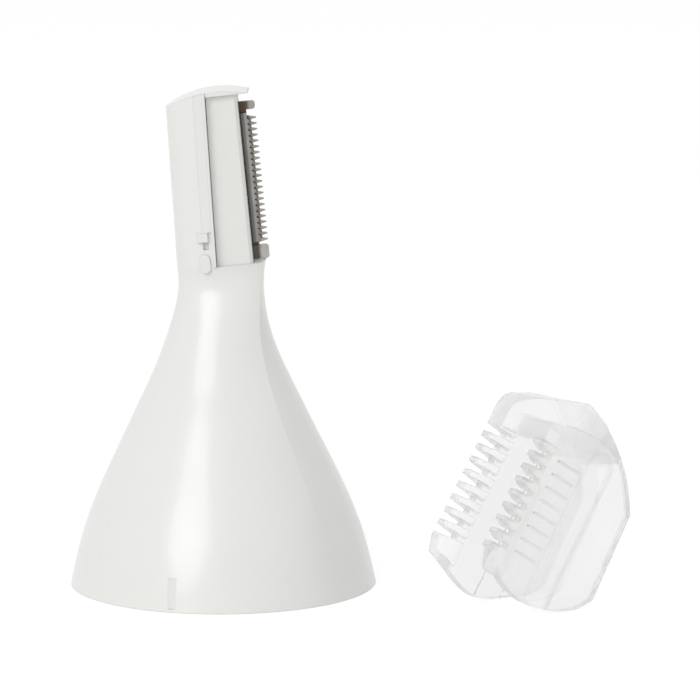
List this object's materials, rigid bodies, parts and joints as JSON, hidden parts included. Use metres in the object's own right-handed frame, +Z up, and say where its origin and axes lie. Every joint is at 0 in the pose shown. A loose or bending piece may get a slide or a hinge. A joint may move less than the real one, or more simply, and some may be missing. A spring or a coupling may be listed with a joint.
{
  "type": "precision hair trimmer head with guide comb",
  "caption": "Flared trimmer head with a narrow neck, side cutter and rocker drive, plus its clear slide-on guide comb.",
  "frame": {"origin": "centre of the skirt's open mouth, on the plane that it stands on, on the handle socket's axis", "axes": "+Z up the skirt's axis, +X towards the side that the cutter's teeth point to, +Y to the back"},
  "size_m": [0.0584, 0.0353, 0.0524],
  "materials": {
    "casing": "moulded, semi-gloss white",
    "holder": "moulded, fine satin",
    "steel": "ground steel",
    "blade": "ground stainless blade",
    "slider": "low-friction natural plastic",
    "spring": "spring steel",
    "frame": "moulded structural plastic",
    "comb": "clear moulded plastic, polished"
  },
  "bodies": {
    "head": {"skirt_shell": "casing", "blade_holder": "holder", "holder_cover": "holder", "holder_pins": "steel", "fixed_blade": "blade", "blade_rivets": "steel", "pressure_spring": "spring", "rocker_pin": "steel", "pin_clips": "steel", "pivot_bracket": "frame", "bracket_screws": "steel", "coupling_ring": "frame", "ring_screws": "steel", "snap_ring": "spring"},
    "rocker": {"rocker_lever": "slider", "fork_clip": "spring"},
    "cutter": {"moving_blade": "blade", "blade_slider": "slider"},
    "comb": {"guide_comb": "comb"}
  },
  "joints": [
    {"name": "rocker_swing", "type": "hinge", "parent": "head", "child": "rocker", "pos_m": [-0.00233, 0, 0.02583], "axis": [0, -1, 0], "range_deg": [-4.3, 4.3]},
    {"name": "cutter_slide", "type": "slide", "parent": "head", "child": "cutter", "axis": [-0.0941, 0, 0.9956], "range_m": [-0.0003, 0.0003]},
    {"name": "comb_lift", "type": "slide", "parent": "head", "child": "comb", "axis": [0, 0, 1], "range_m": [0, 0.06]}
  ],
  "couplings": [
    {"joint": "rocker_swing", "follows": "cutter_slide", "rad_per_m": 250}
  ]
}
